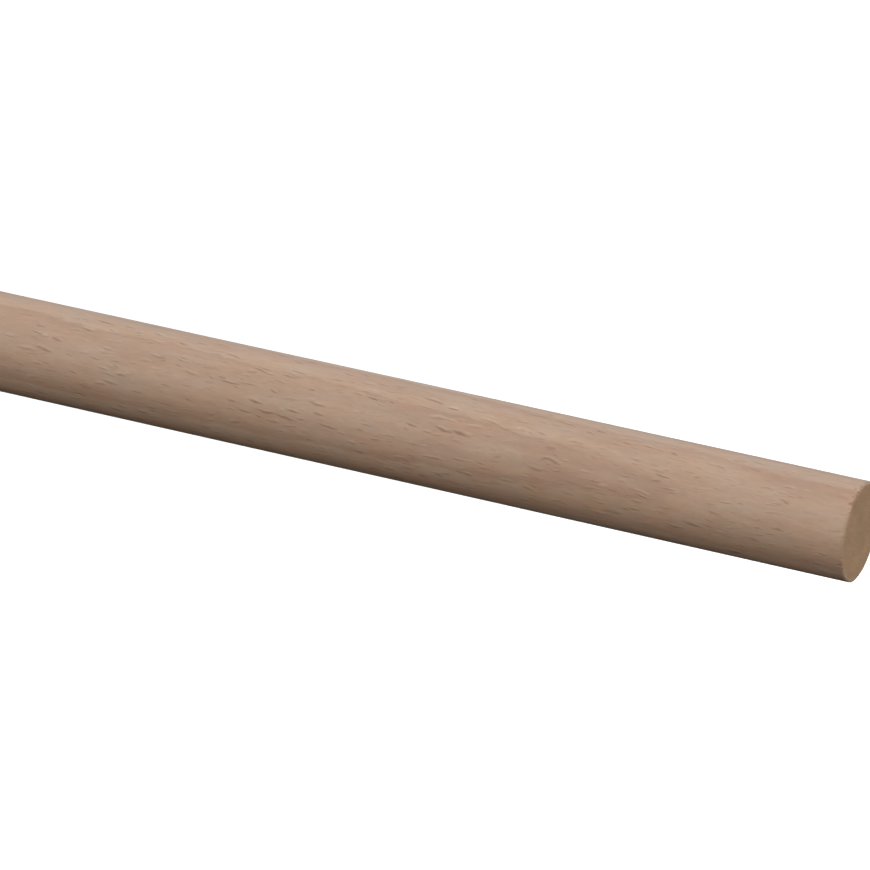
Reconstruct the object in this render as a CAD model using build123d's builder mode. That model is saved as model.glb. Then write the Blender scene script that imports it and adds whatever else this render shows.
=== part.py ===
"""Plain beech dowel rod: turned round, sawn square at both ends, the rims eased by hand.

Millimetres, +Z up. The rod stands on its foot, with the origin at the foot's centre and +Z along
its axis, so that a length can be changed without moving the end it stands on.
"""

import os

from build123d import *

# Driving dimensions, in millimetres.
rod_diameter = 20.0  # stock size, also the drill size for a socket
rod_length = 300.0  # stock length, from sawn face to sawn face
rim_ease = 0.5  # radius that sanding leaves on the rim of each sawn face

rod_radius = rod_diameter / 2

# One piece of wood. Half of its lengthwise section, from the axis out to the round wall, is
# turned about the axis. The two outer corners are the rims, eased before the section is turned.
with BuildPart() as dowel_rod:
    with BuildSketch(Plane.XZ) as half_section:
        Rectangle(rod_radius, rod_length, align=(Align.MIN, Align.MIN))
        rims = half_section.vertices().group_by(Axis.X)[-1]
        fillet(rims, radius=rim_ease)
    revolve(axis=Axis.Z)

dowel_rod.part.label = "dowel_rod"

os.makedirs("parts", exist_ok=True)
export_step(dowel_rod.part, "parts/dowel_rod.step")
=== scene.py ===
"""Looks of a plain beech dowel rod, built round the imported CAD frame.

The rod stands on its sawn foot, with +Z along its axis. One solid of wood is modelled here with
its sawn ends, eased rims and torn fibres, and dressed in two finishes cut from the same beech: the
sanded round side and the sawn end grain. Lengths are in metres unless a name ends in _mm.
"""

import logging
import math
import random
from dataclasses import dataclass
from enum import Enum

import bmesh
import bpy
from mathutils import Matrix, Vector, noise


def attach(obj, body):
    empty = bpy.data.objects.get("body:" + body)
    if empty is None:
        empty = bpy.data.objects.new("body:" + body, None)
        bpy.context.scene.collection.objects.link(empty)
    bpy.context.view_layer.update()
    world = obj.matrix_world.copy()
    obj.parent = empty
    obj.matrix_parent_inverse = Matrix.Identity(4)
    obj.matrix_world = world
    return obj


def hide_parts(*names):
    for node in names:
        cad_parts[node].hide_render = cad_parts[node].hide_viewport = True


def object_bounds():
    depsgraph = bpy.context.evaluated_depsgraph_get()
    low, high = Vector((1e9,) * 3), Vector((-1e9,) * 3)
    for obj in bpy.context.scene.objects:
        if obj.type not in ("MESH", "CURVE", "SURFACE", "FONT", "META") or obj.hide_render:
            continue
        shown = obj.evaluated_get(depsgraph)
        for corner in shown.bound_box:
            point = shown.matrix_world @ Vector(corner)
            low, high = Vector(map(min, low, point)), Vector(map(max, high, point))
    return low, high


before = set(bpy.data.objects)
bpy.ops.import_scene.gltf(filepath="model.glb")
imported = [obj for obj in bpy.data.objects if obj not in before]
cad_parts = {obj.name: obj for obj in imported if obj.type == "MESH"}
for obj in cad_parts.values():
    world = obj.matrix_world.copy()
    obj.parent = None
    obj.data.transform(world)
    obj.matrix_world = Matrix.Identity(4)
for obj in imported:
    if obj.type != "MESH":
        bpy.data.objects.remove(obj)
cad_low, cad_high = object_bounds()

NODE = "dowel_rod"
MM = 0.001
NOISE_LOW, NOISE_HIGH = 0.28, 0.72  # between these lies nearly all of a noise texture
GRAIN_STRETCH = 4  # how much longer along the grain than across it the torn bundles are

Size = tuple[float, float, float]  # along x, y and z

log = logging.getLogger("dowel_rod")


class RodEnd(Enum):
    """The two sawn ends of the rod."""

    FOOT = "foot"
    TOP = "top"


class Cut(Enum):
    """How a face of the rod was cut, which decides the finish that it wears."""

    SIDE = 0
    END = 1


def linear(hex_colour: str) -> tuple[float, float, float, float]:
    """Turns an sRGB hex colour into the linear one that shaders take.

    Args:
        hex_colour: Six hex digits, such as "b29175".

    Returns:
        Linear red, green, blue and an alpha of 1.
    """
    values = [int(hex_colour[i : i + 2], 16) / 255 for i in (0, 2, 4)]
    red, green, blue = (
        v / 12.92 if v <= 0.04045 else ((v + 0.055) / 1.055) ** 2.4 for v in values
    )
    return red, green, blue, 1.0


def towards(azimuth: float, elevation: float = 0.0) -> Vector:
    """Gives the direction from the rod to something that stands round it.

    Args:
        azimuth: Degrees round +Z. At 0 it stands on the -Y side, at 90 on the +X side.
        elevation: Degrees above the horizon.

    Returns:
        A unit vector.
    """
    a, e = math.radians(azimuth), math.radians(elevation)
    return Vector((math.sin(a) * math.cos(e), -math.cos(a) * math.cos(e), math.sin(e)))


def azimuth_of(place: Vector) -> float:
    """Gives the azimuth at which a place lies, in degrees, counted as towards() does."""
    return math.degrees(math.atan2(place.x, -place.y))


def turn_from(azimuth: float, place: Vector) -> float:
    """Gives the turn from an azimuth to a place, in degrees, from -180 to 180."""
    return (azimuth_of(place) - azimuth + 180) % 360 - 180


def along_grain(place: Vector, size_mm: float) -> Vector:
    """Scales a place, so that noise read there has long patches that lie along the grain.

    Args:
        place: Place in the rod.
        size_mm: Width of a patch.

    Returns:
        The place to read the noise at.
    """
    scaled = place / (size_mm * MM)
    scaled.z /= GRAIN_STRETCH
    return scaled


def add_node(
    tree: bpy.types.NodeTree,
    kind: str,
    settings: dict[str, object] | None = None,
    sockets: dict[int | str, object] | None = None,
) -> bpy.types.Node:
    """Adds a node with its settings and links.

    Args:
        tree: Node tree that the node joins.
        kind: Node type, such as "ShaderNodeMath".
        settings: Properties of the node.
        sockets: Input sockets, by name or number, and what each takes: a value, or an output
            socket that it is linked from.

    Returns:
        The new node.
    """
    node = tree.nodes.new(kind)
    for name, value in (settings or {}).items():
        setattr(node, name, value)
    for key, value in (sockets or {}).items():
        if isinstance(value, bpy.types.NodeSocket):
            tree.links.new(value, node.inputs[key])
        else:
            node.inputs[key].default_value = value
    return node


@dataclass(frozen=True)
class RayLayer:
    """Medullary rays of about one size, cut through by the round wall.

    Each shows as a dark spindle along the grain, with a painted highlight along one side, where
    light would catch the fibres that stand raised beside it.
    The broad rays of beech are 1 to 5 mm long along the grain and up to a quarter of a millimetre
    wide. They are drawn up to three times as wide as that, so that they show.
    """

    across_mm: float  # mean distance between neighbours, across the grain
    along_mm: float  # mean distance between neighbours, along the grain
    half_width_mm: float  # of the largest
    half_length_mm: float  # of the largest
    depth: float  # how strongly the strongest mark the wood, from 0 to 1
    shift: float  # moves the layer, so that no two layers line up
    slant: tuple[float, float] = (-7.0, 5.5)  # of the faintest and the strongest, in degrees
    smallest: float = 2.2  # how many times smaller than the largest the smallest are
    faintest: float = 0.2  # strength of the faintest, as a share of the strongest
    # depth of a ray's middle, as a share of across_mm, where the wall only just touches the
    # ray, and where it cuts the ray in full
    beneath: tuple[float, float] = (0.5, 0.2)
    core: float = 0.15  # share of a spindle that is as dark as its middle
    painted_highlight_aside: float = 1.2  # from the middle of a ray to the middle of its painted highlight, in half widths

    def lay(
        self,
        tree: bpy.types.NodeTree,
        place: bpy.types.NodeSocket,
        outward: bpy.types.NodeSocket,
        sideways: bpy.types.NodeSocket,
    ) -> tuple[bpy.types.NodeSocket, bpy.types.NodeSocket]:
        """Adds the nodes of the layer.

        Args:
            tree: Node tree of the material.
            place: Place in the tree, in millimetres.
            outward: Direction out of the wall.
            sideways: Direction round the wall.

        Returns:
            How much of a ray, and how much of its painted highlight, is at each place, from 0 to 1.
        """
        cells = Vector((self.across_mm, self.across_mm, self.along_mm))
        scaled = add_node(
            tree,
            "ShaderNodeVectorMath",
            {"operation": "MULTIPLY_ADD"},
            {0: place, 1: [1 / size for size in cells], 2: (self.shift,) * 3},
        ).outputs[0]
        cell = add_node(
            tree,
            "ShaderNodeTexVoronoi",
            {"voronoi_dimensions": "3D"},
            {"Vector": scaled, "Scale": 1.0},
        )
        in_cell = add_node(
            tree,
            "ShaderNodeVectorMath",
            {"operation": "SUBTRACT"},
            {0: scaled, 1: cell.outputs["Position"]},
        ).outputs[0]
        off = add_node(
            tree, "ShaderNodeVectorMath", {"operation": "MULTIPLY"}, {0: in_cell, 1: cells}
        ).outputs[0]
        chance = add_node(tree, "ShaderNodeSeparateColor", {}, {0: cell.outputs["Color"]})
        shrink = add_node(
            tree, "ShaderNodeMapRange", {}, {0: chance.outputs[0], 3: self.smallest, 4: 1.0}
        ).outputs[0]
        across, beneath, along = (
            add_node(
                tree,
                "ShaderNodeVectorMath",
                {"operation": "DOT_PRODUCT"},
                {0: off, 1: direction},
            ).outputs["Value"]
            for direction in (sideways, outward, Vector((0, 0, 1 / self.half_length_mm)))
        )
        across = add_node(
            tree,
            "ShaderNodeMath",
            {"operation": "MULTIPLY"},
            {0: across, 1: 1 / self.half_width_mm},
        ).outputs[0]
        across, along = (
            add_node(
                tree, "ShaderNodeMath", {"operation": "MULTIPLY"}, {0: way, 1: shrink}
            ).outputs[0]
            for way in (across, along)
        )
        faint, strong = (
            -math.tan(math.radians(angle)) * self.half_length_mm / self.half_width_mm
            for angle in self.slant
        )
        slant = add_node(
            tree, "ShaderNodeMapRange", {}, {0: chance.outputs[1], 3: faint, 4: strong}
        ).outputs[0]
        across = add_node(
            tree,
            "ShaderNodeMath",
            {"operation": "MULTIPLY_ADD"},
            {0: along, 1: slant, 2: across},
        ).outputs[0]
        depth = add_node(
            tree, "ShaderNodeMath", {"operation": "ABSOLUTE"}, {0: beneath}
        ).outputs[0]
        touched, full = (share * self.across_mm for share in self.beneath)
        cut = add_node(
            tree,
            "ShaderNodeMapRange",
            {"interpolation_type": "SMOOTHSTEP"},
            {0: depth, 1: touched, 2: full, 3: 0.0, 4: self.depth},
        ).outputs[0]
        marks = []
        # the dark ray, then its painted highlight, moved to one side of it
        for aside, luck in ((0.0, chance.outputs[1]), (self.painted_highlight_aside, chance.outputs[2])):
            moved = add_node(
                tree, "ShaderNodeMath", {"operation": "ADD"}, {0: across, 1: aside}
            ).outputs[0]
            from_spine = add_node(
                tree, "ShaderNodeMath", {"operation": "ABSOLUTE"}, {0: moved}
            ).outputs[0]
            away = add_node(
                tree,
                "ShaderNodeMath",
                {"operation": "MULTIPLY_ADD"},
                {0: along, 1: along, 2: from_spine},
            ).outputs[0]
            shape = add_node(
                tree,
                "ShaderNodeMapRange",
                {"interpolation_type": "SMOOTHSTEP"},
                {0: away, 1: 1.0, 2: self.core, 3: 0.0, 4: cut},
            ).outputs[0]
            strength = add_node(
                tree, "ShaderNodeMapRange", {}, {0: luck, 3: self.faintest, 4: 1.0}
            ).outputs[0]
            marks.append(
                add_node(
                    tree, "ShaderNodeMath", {"operation": "MULTIPLY"}, {0: shape, 1: strength}
                ).outputs[0]
            )
        return marks[0], marks[1]


@dataclass(frozen=True)
class BeechFigure:
    """The figure that runs through the whole rod, so that side and ends show the same wood.

    The rod was cut from a plank well away from the pith, so its growth rings are nearly flat
    sheets. They swell out through the wall near the top, and there they show as a long arch.
    """

    facing: float = 46.0  # azimuth of the pith, in degrees
    lean: float = 1.4  # slope of the grain across the side that looks that way, in degrees
    pith_mm: float = 79.8  # distance from the pith to the rod's axis, low in the rod
    swell_mm: float = 3.7  # how much further it is at the top
    swell_from_mm: float = 165.0  # height where the rings start to swell
    swell_to_mm: float = 305.0  # height where they would stop
    ring_mm: float = 5.0  # mean width of a growth ring, in wood that grew fast
    uneven: float = 0.6  # how far good and bad years shift the rings, in rings
    uneven_per_mm: float = 0.13  # how often good and bad years change over
    late_power: float = 2.2  # the higher, the later in its ring the wood darkens
    late_peak: float = 0.82  # share of a ring's width at which it is darkest
    waver_mm: float = 0.65  # how far a ring strays from its true course
    waver_size_mm: Size = (6.0, 6.0, 20.0)
    bend_mm: float = 0.34  # how far a fibre bends where it passes rays
    bend_size_mm: Size = (1.6, 1.6, 4.0)
    # real fibres are about 0.02 mm wide and 1 mm long, too fine to show, so bundles are drawn
    fibre_size_mm: Size = (0.55, 0.55, 3.0)
    streak_size_mm: Size = (1.8, 1.8, 20.0)
    dense_size_mm: Size = (5.0, 5.0, 80.0)
    tint_size_mm: Size = (4.0, 4.0, 9.0)
    saw: float = 48.0  # azimuth along which the saw crossed the ends, in degrees
    # a fine blade's marks are about 0.1 mm apart, too fine to show, so they are drawn coarser
    saw_mark_mm: Size = (4.0, 0.8, 5.0)
    blade_size_mm: Size = (6.0, 0.35, 4.0)  # of the lines that rays make on a sawn end
    blade_band: tuple[float, float] = (0.55, 0.75)  # noise at a ray's edge, and in its middle
    between_band: tuple[float, float] = (0.45, 0.25)  # the same for the pale wood between rays
    rays: tuple[RayLayer, ...] = (
        RayLayer(1.8, 9.0, half_width_mm=0.4, half_length_mm=3.2, depth=0.92, shift=0.0),
        RayLayer(1.4, 5.0, half_width_mm=0.38, half_length_mm=2.0, depth=0.72, shift=31.7),
        RayLayer(1.0, 3.0, half_width_mm=0.32, half_length_mm=1.0, depth=0.25, shift=77.3),
    )

    def lay(self, tree: bpy.types.NodeTree, cut: Cut) -> dict[str, bpy.types.NodeSocket]:
        """Adds the nodes of the figure to a material.

        Args:
            tree: Node tree of the material.
            cut: How the wood was cut, which decides how its rays and fibres show.

        Returns:
            Sockets by name: "ray" is 1 on a ray, and the mark listed after it is 1 on the painted
                highlight
            beside a ray of the side, or on the pale wood between rays of a sawn end. "ring" rises
            to 1 at the end of each growth ring, and "fibre", "streak", "dense" and "tint" run from
            0 to 1 about a mean of 0.5. On a sawn end, "fibre" is the marks of the saw.
        """
        place = add_node(
            tree,
            "ShaderNodeVectorMath",
            {"operation": "SCALE"},
            {0: add_node(tree, "ShaderNodeTexCoord").outputs["Object"], "Scale": 1 / MM},
        ).outputs[0]
        height = add_node(tree, "ShaderNodeSeparateXYZ", {}, {0: place}).outputs[2]
        swell = add_node(
            tree,
            "ShaderNodeMapRange",
            {"interpolation_type": "SMOOTHSTEP"},
            {0: height, 1: self.swell_from_mm, 2: self.swell_to_mm, 3: 0.0, 4: self.swell_mm},
        ).outputs[0]
        slope = towards(self.facing + 90) * math.tan(math.radians(self.lean))
        upright = place
        for amount, course in ((height, slope), (swell, towards(self.facing))):
            upright = add_node(
                tree,
                "ShaderNodeVectorMath",
                {"operation": "MULTIPLY_ADD"},
                {0: amount, 1: -course, 2: upright},
            ).outputs[0]
        bent = self._stray(tree, upright, self.bend_size_mm, 2.0, self.bend_mm)
        strayed = self._stray(tree, bent, self.waver_size_mm, 1.0, self.waver_mm)
        if cut is Cut.SIDE:
            ray, pale_wood_and_highlight = self._spindles(tree, place, bent)
            fibre = self._noise(tree, bent, self.fibre_size_mm, 2.0)
        else:
            ray, pale_wood_and_highlight = self._blades(tree, bent)
            sawn = self._turned(tree, place, self.saw)
            fibre = self._noise(tree, sawn, self.saw_mark_mm, 1.0)
        return {
            "ray": ray,
            "pale_wood_and_highlight": pale_wood_and_highlight,
            "ring": self._rings(tree, strayed),
            "fibre": fibre,
            "streak": self._noise(tree, bent, self.streak_size_mm, 2.0),
            "dense": self._noise(tree, strayed, self.dense_size_mm, 2.0),
            "tint": self._noise(tree, bent, self.tint_size_mm, 1.0),
        }

    def _stray(
        self,
        tree: bpy.types.NodeTree,
        place: bpy.types.NodeSocket,
        size_mm: Size,
        detail: float,
        reach_mm: float,
    ) -> bpy.types.NodeSocket:
        """Moves each place a little across the grain, so that nothing runs dead straight.

        Args:
            tree: Node tree of the material.
            place: Place in the tree, in millimetres.
            size_mm: Size of a sway along x, y and z.
            detail: Octaves of finer sways.
            reach_mm: How far the furthest places move.

        Returns:
            The moved place, in millimetres.
        """
        centred = add_node(
            tree,
            "ShaderNodeVectorMath",
            {"operation": "SUBTRACT"},
            {0: self._noise(tree, place, size_mm, detail, "Color"), 1: (0.5, 0.5, 0.5)},
        ).outputs[0]
        furthest = 0.25  # as a rule, the noise keeps this near its middle
        reach = reach_mm / furthest
        return add_node(
            tree,
            "ShaderNodeVectorMath",
            {"operation": "MULTIPLY_ADD"},
            {0: centred, 1: (reach, reach, 0), 2: place},
        ).outputs[0]

    def _spindles(
        self,
        tree: bpy.types.NodeTree,
        place: bpy.types.NodeSocket,
        bent: bpy.types.NodeSocket,
    ) -> tuple[bpy.types.NodeSocket, bpy.types.NodeSocket]:
        """Adds the rays as the round wall cuts them: every layer of spindles, laid together.

        Args:
            tree: Node tree of the material.
            place: Place in the rod, in millimetres.
            bent: Place in the tree, in millimetres.

        Returns:
            How much of a ray, and how much of its painted highlight, is at each place, from 0 to 1.
        """
        level = add_node(
            tree, "ShaderNodeVectorMath", {"operation": "MULTIPLY"}, {0: place, 1: (1, 1, 0)}
        ).outputs[0]
        outward = add_node(
            tree, "ShaderNodeVectorMath", {"operation": "NORMALIZE"}, {0: level}
        ).outputs[0]
        sideways = add_node(
            tree,
            "ShaderNodeVectorMath",
            {"operation": "CROSS_PRODUCT"},
            {0: (0, 0, 1), 1: outward},
        ).outputs[0]
        ray, pale_wood_and_highlight = self.rays[0].lay(tree, bent, outward, sideways)
        for layer in self.rays[1:]:
            more_ray, more_painted_highlight = layer.lay(tree, bent, outward, sideways)
            ray = add_node(
                tree, "ShaderNodeMath", {"operation": "MAXIMUM"}, {0: ray, 1: more_ray}
            ).outputs[0]
            pale_wood_and_highlight = add_node(
                tree, "ShaderNodeMath", {"operation": "MAXIMUM"}, {0: pale_wood_and_highlight, 1: more_painted_highlight}
            ).outputs[0]
        return ray, pale_wood_and_highlight

    def _blades(
        self, tree: bpy.types.NodeTree, bent: bpy.types.NodeSocket
    ) -> tuple[bpy.types.NodeSocket, bpy.types.NodeSocket]:
        """Adds the rays as a sawn end cuts them: fine lines that run out from the pith.

        Args:
            tree: Node tree of the material.
            bent: Place in the tree, in millimetres.

        Returns:
            How much of a ray, and how much of the pale wood between, is at each place.
        """
        lines = self._noise(tree, self._turned(tree, bent, self.facing), self.blade_size_mm, 1.0)
        ray, pale_wood_and_highlight = (
            add_node(
                tree,
                "ShaderNodeMapRange",
                {"interpolation_type": "SMOOTHSTEP"},
                {0: lines, 1: start, 2: stop, 3: 0.0, 4: 1.0},
            ).outputs[0]
            for start, stop in (self.blade_band, self.between_band)
        )
        return ray, pale_wood_and_highlight

    def _turned(
        self, tree: bpy.types.NodeTree, place: bpy.types.NodeSocket, azimuth: float
    ) -> bpy.types.NodeSocket:
        """Turns places about the axis, so that a direction comes to lie along x."""
        return add_node(
            tree,
            "ShaderNodeMapping",
            {"vector_type": "POINT"},
            {"Vector": place, "Rotation": (0, 0, math.radians(90 - azimuth))},
        ).outputs[0]

    def _rings(
        self, tree: bpy.types.NodeTree, place: bpy.types.NodeSocket
    ) -> bpy.types.NodeSocket:
        """Adds the growth rings, each of its own width, darkening slowly to its last wood.

        Args:
            tree: Node tree of the material.
            place: Place in the tree, in millimetres.

        Returns:
            Darkness of the ring, from 0 in its first wood to 1 near its end.
        """
        from_pith = add_node(
            tree,
            "ShaderNodeVectorMath",
            {"operation": "MULTIPLY_ADD"},
            {0: place, 1: (1, 1, 0), 2: -towards(self.facing) * self.pith_mm},
        ).outputs[0]
        radius = add_node(
            tree, "ShaderNodeVectorMath", {"operation": "LENGTH"}, {0: from_pith}
        ).outputs["Value"]
        uneven = add_node(
            tree,
            "ShaderNodeTexNoise",
            {"noise_dimensions": "1D"},
            {"W": radius, "Scale": self.uneven_per_mm, "Detail": 1.0},
        ).outputs[0]
        years = add_node(
            tree, "ShaderNodeMath", {"operation": "MULTIPLY"}, {0: uneven, 1: self.uneven}
        ).outputs[0]
        count = add_node(
            tree,
            "ShaderNodeMath",
            {"operation": "MULTIPLY_ADD"},
            {0: radius, 1: 1 / self.ring_mm, 2: years},
        ).outputs[0]
        season = add_node(tree, "ShaderNodeMath", {"operation": "FRACT"}, {0: count}).outputs[0]
        late = add_node(
            tree, "ShaderNodeMath", {"operation": "POWER"}, {0: season, 1: self.late_power}
        ).outputs[0]
        over = add_node(
            tree,
            "ShaderNodeMapRange",
            {"interpolation_type": "SMOOTHSTEP"},
            {0: season, 1: 1.0, 2: self.late_peak, 3: 0.0, 4: 1.0},
        ).outputs[0]
        return add_node(
            tree, "ShaderNodeMath", {"operation": "MULTIPLY"}, {0: late, 1: over}
        ).outputs[0]

    def _noise(
        self,
        tree: bpy.types.NodeTree,
        place: bpy.types.NodeSocket,
        size_mm: Size,
        detail: float,
        output: str = "Fac",
    ) -> bpy.types.NodeSocket:
        """Adds noise that is drawn out along the grain.

        Args:
            tree: Node tree of the material.
            place: Place in the tree, in millimetres.
            size_mm: Size of its largest patches along x, y and z.
            detail: Octaves of finer noise.
            output: "Fac" for one number, or "Color" for three.

        Returns:
            The noise, from 0 to 1.
        """
        drawn = add_node(
            tree,
            "ShaderNodeVectorMath",
            {"operation": "MULTIPLY"},
            {0: place, 1: [1 / size for size in size_mm]},
        ).outputs[0]
        return add_node(
            tree,
            "ShaderNodeTexNoise",
            {"noise_dimensions": "3D"},
            {"Vector": drawn, "Scale": 1.0, "Detail": detail, "Roughness": 0.5},
        ).outputs[output]


@dataclass(frozen=True)
class BeechFinish:
    """Bare beech, with no oil or varnish: its colours, and how strongly each mark shows.

    A share is how far a mark covers the wood beneath it, or how far it lightens and darkens it,
    from 0 to 1.
    """

    name: str
    cut: Cut
    pink: str  # the pinker wood
    yellow: str  # the yellower wood
    late: str  # last wood of a growth ring
    ray: str
    pale_wood_and_highlight: str  # painted highlight beside a ray of the side; on a sawn end, the pale wood between rays
    frayed: str  # crushed fibres at the rim
    ring_share: float
    dense_share: float  # how far broad streaks of denser, redder wood darken it
    streak_share: float
    fibre_share: float
    ray_share: float
    pale_wood_and_highlight_share: float
    frayed_share: float
    roughness: float
    relief_mm: float  # from the top of the fibres to the bottom of a ray
    fuzz: float  # pale sheen of the finest fibres, seen along the surface
    fuzz_roughness: float = 0.4
    # how far the ray colour is painted into the nicks as their shade
    nick_painted_shade_share: float = 0.8
    rough_spread: float = 0.05  # how far single fibres differ in roughness
    frayed_rough: float = 0.4  # how much rougher crushed fibres are
    ior: float = 1.5  # of cellulose
    figure: BeechFigure = BeechFigure()

    def make(self) -> bpy.types.Material:
        """Makes the material.

        Returns:
            The material, which reads Object coordinates and the rod's vertex layers.
        """
        material = bpy.data.materials.new(self.name)
        material.use_nodes = True
        tree = material.node_tree
        tree.nodes.clear()
        marks = self.figure.lay(tree, self.cut)
        for mark in ("frayed", "nick_and_painted_shade"):
            marks[mark] = add_node(
                tree, "ShaderNodeAttribute", {"attribute_name": mark}
            ).outputs["Fac"]
        tint = self._spread(tree, marks["tint"], 0.0, 1.0)
        colour = self._mix(tree, tint, linear(self.pink), linear(self.yellow))
        marks["dense"] = self._spread(tree, marks["dense"], 0.0, 1.0)
        for mark, shade, share in (
            ("dense", self.late, self.dense_share),
            ("ring", self.late, self.ring_share),
            # painted highlight beside the rays of the side; pale wood between the rays of a sawn
            # end
            ("pale_wood_and_highlight", self.pale_wood_and_highlight, self.pale_wood_and_highlight_share),
            ("ray", self.ray, self.ray_share),
            ("frayed", self.frayed, self.frayed_share),
            # painted shade in the nicks, in the ray colour
            ("nick_and_painted_shade", self.ray, self.nick_painted_shade_share),
        ):
            much = add_node(
                tree, "ShaderNodeMath", {"operation": "MULTIPLY"}, {0: marks[mark], 1: share}
            ).outputs[0]
            colour = self._mix(tree, much, colour, linear(shade))
        for mark, share in (
            ("streak", self.streak_share),
            ("fibre", self.fibre_share),
        ):
            light = self._spread(tree, marks[mark], 1 - share, 1 + share)
            colour = add_node(
                tree,
                "ShaderNodeVectorMath",
                {"operation": "SCALE"},
                {0: colour, "Scale": light},
            ).outputs[0]
        smooth, dull = self.roughness - self.rough_spread, self.roughness + self.rough_spread
        rough = add_node(
            tree,
            "ShaderNodeMath",
            {"operation": "MULTIPLY_ADD"},
            {
                0: marks["frayed"],
                1: self.frayed_rough,
                2: self._spread(tree, marks["fibre"], smooth, dull),
            },
        ).outputs[0]
        raised = add_node(
            tree, "ShaderNodeMath", {"operation": "SUBTRACT"}, {0: marks["fibre"], 1: marks["ray"]}
        ).outputs[0]
        relief = add_node(
            tree,
            "ShaderNodeBump",
            {},
            {"Strength": 1.0, "Distance": self.relief_mm * MM, "Height": raised},
        ).outputs[0]
        shader = add_node(
            tree,
            "ShaderNodeBsdfPrincipled",
            {},
            {
                "Base Color": colour,
                "Roughness": rough,
                "Normal": relief,
                "IOR": self.ior,
                "Sheen Weight": self.fuzz,
                "Sheen Roughness": self.fuzz_roughness,
            },
        )
        add_node(tree, "ShaderNodeOutputMaterial", {}, {"Surface": shader.outputs[0]})
        return material

    def _spread(
        self, tree: bpy.types.NodeTree, soft: bpy.types.NodeSocket, low: float, high: float
    ) -> bpy.types.NodeSocket:
        """Spreads noise, which keeps near its middle, over a range from low to high."""
        return add_node(
            tree,
            "ShaderNodeMapRange",
            {"interpolation_type": "SMOOTHSTEP"},
            {0: soft, 1: NOISE_LOW, 2: NOISE_HIGH, 3: low, 4: high},
        ).outputs[0]

    def _mix(
        self,
        tree: bpy.types.NodeTree,
        much: bpy.types.NodeSocket,
        under: object,
        over: object,
    ) -> bpy.types.NodeSocket:
        """Lays one colour over another, as much as a socket says."""
        return add_node(
            tree, "ShaderNodeMix", {"data_type": "RGBA"}, {0: much, 6: under, 7: over}
        ).outputs[2]


# European beech, moulded round and sanded fine along the grain, then left bare. The eye sees a
# dull pinkish brown in soft patches, some pinker and some yellower, crossed by the wide, blurred
# bands of the growth rings. On it lie many short dark dashes, the cut rays, each with a painted
# highlight along one side where light would catch its raised fibres, and a silky grain that is
# drawn coarser than the real fibres, so that it shows.
SANDED_SIDE = BeechFinish(
    name="sanded_beech",
    cut=Cut.SIDE,
    pink="be987d",
    yellow="bd9d85",
    late="a57b63",
    # painted highlight beside each ray, where light would catch its raised fibres
    ray="845d45",
    pale_wood_and_highlight="d2b69c",
    frayed="b18b6a",
    ring_share=0.64,
    dense_share=0.2,
    streak_share=0.045,
    fibre_share=0.04,
    ray_share=0.73,
    pale_wood_and_highlight_share=0.46,
    frayed_share=0.9,
    roughness=0.48,
    relief_mm=0.02,
    fuzz=0.02,
)
# The same beech, cross-cut with a fine saw and left as sawn. End grain drinks the light, so the
# eye sees a flat, even tan, yellower and a little deeper than the side, with no gloss. Very faint
# saw marks cross it one way, and fainter lines of rays run out from the pith. Both are drawn
# coarser than they are, so that they show.
SAWN_END = BeechFinish(
    name="sawn_beech_end_grain",
    cut=Cut.END,
    pink="bb9068",
    yellow="b88c63",
    late="a27b57",
    ray="987350",
    pale_wood_and_highlight="c39c76",
    frayed="c8a98a",
    ring_share=0.3,
    dense_share=0.5,
    streak_share=0.02,
    fibre_share=0.06,
    ray_share=0.2,
    pale_wood_and_highlight_share=0.1,
    frayed_share=0.9,
    roughness=0.8,
    relief_mm=0.02,
    fuzz=0.0,
)


@dataclass
class Tear:
    """A stretch of rim where the saw tore fibres out, or pushed them into a burr."""

    azimuth: float  # middle of the stretch, in degrees
    spread: float  # half of its width, in degrees
    torn_mm: float = 0.0  # how deep the fibres are torn out
    burr_mm: float = 0.0  # how far the rim is pushed out
    tufts: int = 0  # how many broken fibres stand up along it

    def share(self, place: Vector) -> float:
        """Tells how torn the rim is at a place: 1 in the middle, 0 beyond the stretch."""
        off = turn_from(self.azimuth, place) / self.spread
        return max(0.0, 1 - off * off)


@dataclass(frozen=True)
class Nick:
    """A small gap in the wall below a rim, where a few fibres broke away, with shade painted into
    it.
    """

    azimuth: float  # of its middle, in degrees
    below_mm: float  # from the sawn face to its middle
    half_length_mm: float  # along the grain
    half_width_mm: float  # round the rod
    depth_mm: float

    def share(self, place: Vector, from_face: float) -> float:
        """Tells how deep the gap is at a place of the wall: 1 in its middle, 0 beyond it.

        Args:
            place: Place on the wall.
            from_face: Its distance from the sawn face.

        Returns:
            Share of the nick's depth.
        """
        turn = math.radians(turn_from(self.azimuth, place))
        aside = turn * place.xy.length / (self.half_width_mm * MM)
        along = (from_face - self.below_mm * MM) / (self.half_length_mm * MM)
        return max(0.0, 1 - aside * aside - along * along)


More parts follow.
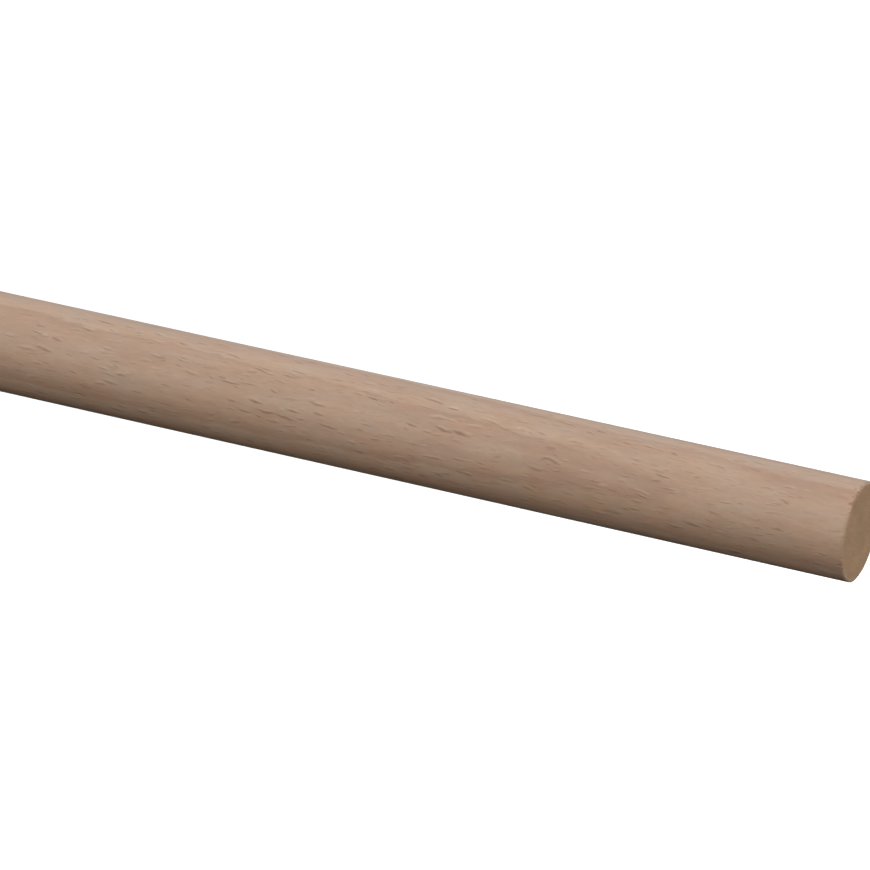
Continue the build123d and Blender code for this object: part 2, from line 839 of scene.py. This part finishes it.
@dataclass(frozen=True)
class Fraying:
    """How ragged sawing and sanding leave the fibres, all along a rim.

    Raggedness is noise about 0, drawn out along the grain, that seldom passes 0.4.
    """

    bundle_mm: float = 0.7  # width of the fibres that break as one
    splinter_times: float = 2.7  # how many times finer the splinters in a bundle are
    splinter_share: float = 0.6
    gap_mm: float = 0.04  # depth of the gaps between bundles
    gap_gain: float = 2.5  # brings the raggedness up to about 1
    torn_even: float = 0.4  # share of a tear's depth that is the same all along it
    torn_ragged: float = 1.6  # how strongly the rest follows the raggedness
    crushed: float = 0.55  # how frayed the fibres look, from 0 to 1
    crushed_ragged: float = 0.5  # how strongly that follows the raggedness
    clean_per_mm: float = 2.5  # a tear shows fresh wood, the more the deeper it goes
    fade: float = 0.3  # how far past a rim the fraying reaches down the wall, in eases

    def raggedness(self, place: Vector) -> float:
        """Gives the raggedness of the fibres at a place."""
        fine = along_grain(place, self.bundle_mm)
        return noise.noise(fine) + self.splinter_share * noise.noise(self.splinter_times * fine)

    def depth_mm(self, ragged: float, torn_mm: float) -> float:
        """Tells how much wood is gone from the rim at a place.

        Args:
            ragged: Raggedness there.
            torn_mm: Depth of the tears there.

        Returns:
            Depth in millimetres.
        """
        torn = torn_mm * (self.torn_even + self.torn_ragged * ragged)
        return max(0.0, self.gap_mm * self.gap_gain * ragged + torn)

    def look(self, ragged: float, torn_mm: float, burr_mm: float) -> float:
        """Tells how frayed the fibres of the rim look at a place.

        Args:
            ragged: Raggedness there.
            torn_mm: Depth of the tears there.
            burr_mm: Height of the burr there.

        Returns:
            A share from 0 to 1.
        """
        look = self.crushed + self.crushed_ragged * ragged + burr_mm - self.clean_per_mm * torn_mm
        return min(1.0, max(0.0, look))


@dataclass(frozen=True)
class Tuft:
    """A tuft of broken fibre that stands up from a rim. A pair holds the range of a size."""

    along_tear: tuple[float, float] = (-0.8, 0.8)  # in half widths of the tear
    lean_out: tuple[float, float] = (0.0, 0.8)
    lean_aside: tuple[float, float] = (-0.5, 0.5)
    length_mm: tuple[float, float] = (0.25, 0.5)
    inset_mm: tuple[float, float] = (0.12, 0.3)  # from the wall to the middle of its root
    sunk_mm: tuple[float, float] = (0.15, 0.25)  # from the sawn face down to its root
    root_mm: tuple[float, float] = (0.08, 0.14)  # radius of its root
    tip_mm: float = 0.03  # radius of its tip
    sides: int = 6

    def stand(
        self, bm: bmesh.types.BMesh, dice: random.Random, tear: Tear, rim: Vector, up: Vector
    ) -> list[bmesh.types.BMVert]:
        """Stands one tuft up somewhere along a tear.

        Args:
            bm: The rod's mesh.
            dice: Gives the tuft's own sizes.
            tear: The tear that it belongs to.
            rim: Radius of the wall and height of the sawn face, as x and z.
            up: Direction out of the sawn face.

        Returns:
            The tuft's corners.
        """
        out = towards(tear.azimuth + dice.uniform(*self.along_tear) * tear.spread)
        lean = out * dice.uniform(*self.lean_out) + up.cross(out) * dice.uniform(*self.lean_aside)
        course = (up + lean).normalized()
        length = dice.uniform(*self.length_mm) * MM
        root = Vector((0, 0, rim.z)) + out * (rim.x - dice.uniform(*self.inset_mm) * MM)
        root -= up * dice.uniform(*self.sunk_mm) * MM
        turn = Vector((0, 0, 1)).rotation_difference(course).to_matrix().to_4x4()
        made = bmesh.ops.create_cone(
            bm,
            cap_ends=True,
            cap_tris=False,
            segments=self.sides,
            radius1=dice.uniform(*self.root_mm) * MM,
            radius2=self.tip_mm * MM,
            depth=length,
            matrix=Matrix.Translation(root + course * length / 2) @ turn,
        )
        return made["verts"]


@dataclass
class Rod:
    """The rod: one length of wood, round, with a sawn face and an eased rim at each end."""

    radius: float
    length: float
    tears: dict[RodEnd, tuple[Tear, ...]]
    nicks: dict[RodEnd, tuple[Nick, ...]]
    ease: float = 0.5 * MM
    steps: int = 480  # round the rod
    rows: int = 60  # along the wall
    rings: int = 8  # across a sawn face
    margin: float = 1.5 * MM  # width of the finely divided strips beside a rim
    margin_rows: int = 8
    arc: int = 6  # across a rim
    seam: float = 157.5  # azimuth where the UV map is cut, in degrees
    out_of_round: float = 0.02 * MM
    sway_mm: float = 9.0  # width of a low or high place in the wall
    fraying: Fraying = Fraying()
    tuft: Tuft = Tuft()
    seed: int = 12

    def build(self) -> bpy.types.Object:
        """Models the rod, lays its UV map and dresses it.

        Returns:
            The rod's object, at the origin.
        """
        bm = bmesh.new()
        self._turn(bm)
        self._work(bm)
        self._lay_map(bm, self._tuft(bm))
        mesh = bpy.data.meshes.new("beech_rod")
        bm.to_mesh(mesh)
        bm.free()
        mesh.shade_smooth()
        for finish in (SANDED_SIDE, SAWN_END):
            mesh.materials.append(finish.make())
        rod = bpy.data.objects.new("beech_rod", mesh)
        bpy.context.scene.collection.objects.link(rod)
        return rod

    def _turn(self, bm: bmesh.types.BMesh) -> None:
        """Turns half the rod's section about the axis.

        Args:
            bm: Mesh that the rod is made in.
        """
        near = self.radius - self.margin
        lower = [(0, 0), (near, 0), (self.radius, 0), (self.radius, self.margin)]
        upper = [(x, self.length - z) for x, z in reversed(lower)]
        points = [bm.verts.new((x, 0, z)) for x, z in lower + upper]
        rims = [points[2], points[-3]]
        for pair in zip(points, points[1:]):
            bm.edges.new(pair)
        bmesh.ops.bevel(
            bm,
            geom=rims,
            offset=self.ease,
            offset_type="OFFSET",
            segments=self.arc,
            profile=0.5,
            affect="VERTICES",
            material=-1,
        )
        lengths = {edge: edge.calc_length() for edge in bm.edges}
        for low, high, cuts in (
            (self.length / 2, self.length, self.rows),
            (self.radius / 2, self.radius, self.rings),
            (self.ease, self.radius / 2, self.margin_rows),
        ):
            edges = [edge for edge, size in lengths.items() if low < size < high]
            bmesh.ops.subdivide_edges(bm, edges=edges, cuts=cuts)
        bmesh.ops.spin(
            bm,
            geom=bm.verts[:] + bm.edges[:],
            cent=(0, 0, 0),
            axis=(0, 0, 1),
            angle=2 * math.pi,
            steps=self.steps,
            use_merge=True,
        )
        weld = self.radius / 1e5
        bmesh.ops.remove_doubles(bm, verts=bm.verts, dist=weld)
        bmesh.ops.recalc_face_normals(bm, faces=bm.faces)

    def _work(self, bm: bmesh.types.BMesh) -> None:
        """Leaves the small unevenness of turning, sanding and sawing in the surface.

        The vertex layers keep how much the fibres are "frayed", and how dark the painted shade in
        each nick is, from 0 to 1.

        Args:
            bm: The rod's mesh.
        """
        frayed = bm.verts.layers.float.new("frayed")
        painted_shade = bm.verts.layers.float.new("nick_and_painted_shade")
        on_axis = self.radius / 100
        for vert in bm.verts:
            level = Vector((vert.co.x, vert.co.y, 0))
            if level.length < on_axis:
                continue
            out = level.normalized()
            sway = noise.noise(along_grain(vert.co, self.sway_mm))
            push = out * sway * self.out_of_round * level.length / self.radius
            end = RodEnd.TOP if vert.co.z > self.length / 2 else RodEnd.FOOT
            up = Vector((0, 0, 1 if end is RodEnd.TOP else -1))
            from_face = self.length - vert.co.z if end is RodEnd.TOP else vert.co.z
            near = 1 - max(self.radius - level.length, from_face) / self.margin
            if near > 0:
                shares = [(tear, tear.share(vert.co)) for tear in self.tears[end]]
                torn_mm = sum(tear.torn_mm * share for tear, share in shares)
                burr_mm = sum(tear.burr_mm * share for tear, share in shares)
                ragged = self.fraying.raggedness(vert.co)
                inward = -(out + up) * self.fraying.depth_mm(ragged, torn_mm)
                push += (inward * near**2 + out * burr_mm * near**4) * MM
                on_wall = from_face > self.radius - level.length
                if on_wall:
                    for nick_and_painted_shade in self.nicks[end]:
                        share = nick_and_painted_shade.share(vert.co, from_face)
                        push -= out * share * nick_and_painted_shade.depth_mm * MM
                        # painted shade, darkest where the gap is deepest
                        vert[painted_shade] = max(vert[painted_shade], share)
                past_rim = (from_face / self.ease - 1) / self.fraying.fade
                reach = min(1.0, max(0.0, 1 - past_rim)) if on_wall else near**2
                vert[frayed] = self.fraying.look(ragged, torn_mm, burr_mm) * reach
            vert.co += push

    def _tuft(self, bm: bmesh.types.BMesh) -> set[bmesh.types.BMFace]:
        """Stands tufts of broken fibre up along the rims.

        Args:
            bm: The rod's mesh.

        Returns:
            The faces of the tufts.
        """
        dice = random.Random(self.seed)
        frayed = bm.verts.layers.float["frayed"]
        faces = set()
        for end, tears in self.tears.items():
            top = end is RodEnd.TOP
            up = Vector((0, 0, 1 if top else -1))
            rim = Vector((self.radius, 0, self.length if top else 0))
            for tear in tears:
                for _ in range(tear.tufts):
                    for vert in self.tuft.stand(bm, dice, tear, rim, up):
                        vert[frayed] = 1.0
                        faces.update(vert.link_faces)
        return faces

    def _lay_map(self, bm: bmesh.types.BMesh, tufts: set[bmesh.types.BMFace]) -> None:
        """Lays the UV map and picks each face's finish.

        The round wall is two strips, its lower and its upper half, and the sawn faces are discs
        beside them, all at about one scale. The tufts lie in the gap between the discs.

        Args:
            bm: The rod's mesh.
            tufts: Faces of the tufts.
        """
        layer = bm.loops.layers.uv.new("OFBake")
        gap = 0.004  # round each island, as a share of the map
        level = math.sqrt(0.5)  # the upright part of a normal that leans 45 degrees
        scale = (1 - 2 * gap) / (self.length / 2)
        disc = 2 * self.radius * scale
        strip = (1 - disc - 4 * gap) / 2
        column = 1 - gap - disc / 2
        for face in bm.faces:
            middle = face.calc_center_median()
            upper = middle.z > self.length / 2
            flat = abs(face.normal.z) > level
            sawn = face not in tufts and middle.xy.length < self.radius - self.ease
            face.material_index = Cut.END.value if sawn else Cut.SIDE.value
            if face in tufts:
                centre = Vector((column, 0.5))
                for loop in face.loops:
                    loop[layer].uv = centre + (loop.vert.co - middle).xz * scale
            elif flat:
                centre = Vector((column, 0.75 if upper else 0.25))
                for loop in face.loops:
                    loop[layer].uv = centre + loop.vert.co.xy * scale
            else:
                left = gap + (strip + gap) * upper
                start = self.length / 2 * upper
                turn = self._turns(middle)
                for loop in face.loops:
                    near = (self._turns(loop.vert.co) - turn + 0.5) % 1 - 0.5 + turn
                    height = gap + (loop.vert.co.z - start) * scale
                    loop[layer].uv = (left + strip * near, height)

    def _turns(self, place: Vector) -> float:
        """Gives the share of a full turn from the seam to a place."""
        return (azimuth_of(place) - self.seam) / 360 % 1


@dataclass
class Camera:
    """A long lens that looks down on the rod, rolled so that the upright rod crosses the frame."""

    top: Vector  # centre of the rod's top end
    below_top: float = 90.1 * MM  # how far down the axis from there the camera aims
    azimuth: float = 48.0
    elevation: float = 21.07
    roll: float = 102.5
    distance: float = 1.199
    rise: float = 0.52 * MM  # moves the camera up in its own frame
    lens_mm: float = 250.4
    sensor_mm: float = 36.0

    def build(self) -> None:
        """Makes the camera and hands it to the scene."""
        data = bpy.data.cameras.new("camera")
        data.lens = self.lens_mm
        data.sensor_width = self.sensor_mm
        back = towards(self.azimuth, self.elevation)
        level = towards(self.azimuth + 90)
        roll = Matrix.Rotation(math.radians(self.roll), 3, back)
        right = roll @ level
        up = roll @ back.cross(level)
        camera = bpy.data.objects.new("camera", data)
        place = Matrix((right, up, back)).transposed().to_4x4()
        aim = self.top - Vector((0, 0, self.below_top))
        place.translation = aim + back * self.distance + up * self.rise
        camera.matrix_world = place
        bpy.context.scene.collection.objects.link(camera)
        bpy.context.scene.camera = camera


@dataclass(frozen=True)
class Lamp:
    """A square soft box that looks at the rod."""

    name: str
    azimuth: float
    elevation: float
    distance: float
    side: float
    power: float
    light: str = "ffffff"

    def build(self, aim: Vector) -> None:
        """Makes the lamp.

        Args:
            aim: Point that it looks at.
        """
        data = bpy.data.lights.new(self.name, "AREA")
        data.shape = "SQUARE"
        data.size = self.side
        data.energy = self.power
        data.color = linear(self.light)[:3]
        lamp = bpy.data.objects.new(self.name, data)
        back = towards(self.azimuth, self.elevation)
        lamp.matrix_world = (
            Matrix.Translation(aim + back * self.distance)
            @ back.to_track_quat("Z", "Y").to_matrix().to_4x4()
        )
        lamp.visible_camera = False
        bpy.context.scene.collection.objects.link(lamp)


@dataclass
class Studio:
    """A plain pale floor inside a tent of soft light, bright on one side and dark on the other."""

    aim: Vector
    reach: float = 4.0  # from the rod to the edge of the floor
    paper: str = "f2f2f2"
    paper_glow: float = 0.58  # lifts the lit floor to white
    bright_side: float = -15.0  # azimuth that the light comes from, in degrees
    dusk: float = 0.5  # how far past square to that side the tent's light reaches, as a cosine
    strength: float = 1.04
    sky: str = "f1faff"  # the tent's light is a little cooler than the key's
    lamps: tuple[Lamp, ...] = (
        Lamp("key", 49.0, 30.0, distance=1.3, side=0.9, power=2.66, light="fff5e9"),
        Lamp("back_fill", 224.0, 8.0, distance=1.5, side=0.8, power=6.0),
    )

    def build(self) -> None:
        """Makes the floor, the tent and the lamps."""
        self._floor()
        self._tent()
        for lamp in self.lamps:
            lamp.build(self.aim)

    def _floor(self) -> None:
        """Makes a pale floor that shows white, but for the rod's shadow.

        Light passes up through it, as if the rod stood on glass inside the tent.
        """
        bm = bmesh.new()
        bmesh.ops.create_grid(bm, x_segments=1, y_segments=1, size=self.reach)
        mesh = bpy.data.meshes.new("floor")
        bm.to_mesh(mesh)
        bm.free()
        material = bpy.data.materials.new("studio_paper")
        material.use_nodes = True
        tree = material.node_tree
        tree.nodes.clear()
        seen = add_node(tree, "ShaderNodeLightPath").outputs["Is Camera Ray"]
        paper = add_node(tree, "ShaderNodeBsdfDiffuse", {}, {"Color": linear(self.paper)})
        glow = add_node(
            tree, "ShaderNodeEmission", {}, {"Color": linear("ffffff"), "Strength": self.paper_glow}
        )
        lit = add_node(tree, "ShaderNodeAddShader", {}, {0: paper.outputs[0], 1: glow.outputs[0]})
        clear = add_node(tree, "ShaderNodeBsdfTransparent")
        both = add_node(
            tree, "ShaderNodeMixShader", {}, {0: seen, 1: clear.outputs[0], 2: lit.outputs[0]}
        )
        add_node(tree, "ShaderNodeOutputMaterial", {}, {"Surface": both.outputs[0]})
        mesh.materials.append(material)
        floor = bpy.data.objects.new("floor", mesh)
        bpy.context.scene.collection.objects.link(floor)

    def _tent(self) -> None:
        """Makes the surround: a tent of light that itself shows plain white."""
        world = bpy.data.worlds.new("studio")
        world.use_nodes = True
        tree = world.node_tree
        tree.nodes.clear()
        facing = add_node(
            tree,
            "ShaderNodeVectorMath",
            {"operation": "DOT_PRODUCT"},
            {
                0: add_node(tree, "ShaderNodeTexCoord").outputs["Generated"],
                1: towards(self.bright_side),
            },
        ).outputs["Value"]
        strength = add_node(
            tree,
            "ShaderNodeMapRange",
            {"interpolation_type": "SMOOTHSTEP"},
            {0: facing, 1: -self.dusk, 2: self.dusk, 3: 0.0, 4: self.strength},
        ).outputs[0]
        seen = add_node(tree, "ShaderNodeLightPath").outputs["Is Camera Ray"]
        tent = add_node(
            tree, "ShaderNodeBackground", {}, {"Color": linear(self.sky), "Strength": strength}
        )
        plain = add_node(
            tree, "ShaderNodeBackground", {}, {"Color": linear("ffffff"), "Strength": 1.0}
        )
        both = add_node(
            tree, "ShaderNodeMixShader", {}, {0: seen, 1: tent.outputs[0], 2: plain.outputs[0]}
        )
        add_node(tree, "ShaderNodeOutputWorld", {}, {"Surface": both.outputs[0]})
        bpy.context.scene.world = world


# where the saw tore the rims, seen as a rough pale edge
TEARS = {
    RodEnd.TOP: (
        Tear(azimuth=-20.0, spread=45.0, torn_mm=0.08),
        Tear(azimuth=12.0, spread=22.0, torn_mm=0.14, tufts=7),
        Tear(azimuth=15.5, spread=2.0, burr_mm=0.15, tufts=2),
        Tear(azimuth=20.5, spread=3.0, torn_mm=0.35),
        Tear(azimuth=87.0, spread=5.0, burr_mm=0.12, tufts=1),
        Tear(azimuth=118.0, spread=24.0, burr_mm=0.08),
        Tear(azimuth=152.0, spread=18.0, burr_mm=0.2, tufts=2),
    ),
    RodEnd.FOOT: (Tear(azimuth=200.0, spread=30.0, torn_mm=0.15),),
}
# small gaps in the wall just inside the rims, with painted shade in them
NICKS = {
    RodEnd.TOP: (
        Nick(-4.0, below_mm=1.0, half_length_mm=0.25, half_width_mm=0.22, depth_mm=0.12),
        Nick(9.0, below_mm=0.6, half_length_mm=0.35, half_width_mm=0.18, depth_mm=0.12),
        Nick(93.4, below_mm=0.75, half_length_mm=0.65, half_width_mm=0.2, depth_mm=0.15),
    ),
    RodEnd.FOOT: (
        Nick(193.0, below_mm=0.7, half_length_mm=0.5, half_width_mm=0.2, depth_mm=0.12),
    ),
}


def main() -> None:
    """Builds the scene piece by piece."""
    logging.basicConfig(level=logging.INFO, format="%(name)s: %(message)s")
    bpy.context.scene.view_settings.view_transform = "Standard"
    top = Vector((0, 0, cad_high.z))
    Camera(top).build()
    log.info("camera set")
    rod = Rod(radius=cad_high.x, length=cad_high.z, tears=TEARS, nicks=NICKS).build()
    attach(rod, "root")
    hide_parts(NODE)
    log.info("%s: %d faces", rod.name, len(rod.data.polygons))
    studio = Studio(aim=top / 2)
    studio.build()
    log.info("studio set, with %d lamps", len(studio.lamps))


if __name__ == "__main__":
    main()
